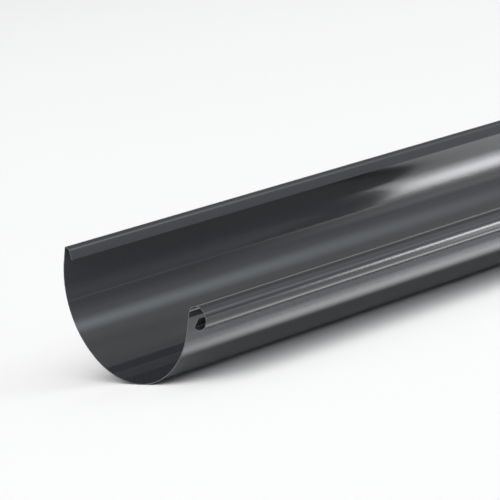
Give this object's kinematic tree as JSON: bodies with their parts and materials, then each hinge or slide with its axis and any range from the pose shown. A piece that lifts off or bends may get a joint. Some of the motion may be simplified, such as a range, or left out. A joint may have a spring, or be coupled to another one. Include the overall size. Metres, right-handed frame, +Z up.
{
  "type": "half-round gutter length",
  "caption": "Straight length of half-round roof gutter in dark coated steel, with a rolled front bead and a folded back edge.",
  "frame": {"origin": "on the floor, under the middle of the gutter's bounding box", "axes": "+X along the gutter, +Y towards the back edge that hangs against the eaves, +Z up as it rests unheld on a level floor"},
  "size_m": [2, 0.1439, 0.0982],
  "materials": {
    "coated_steel": "satin"
  },
  "bodies": {
    "root": {"gutter": "coated_steel"}
  },
  "joints": []
}
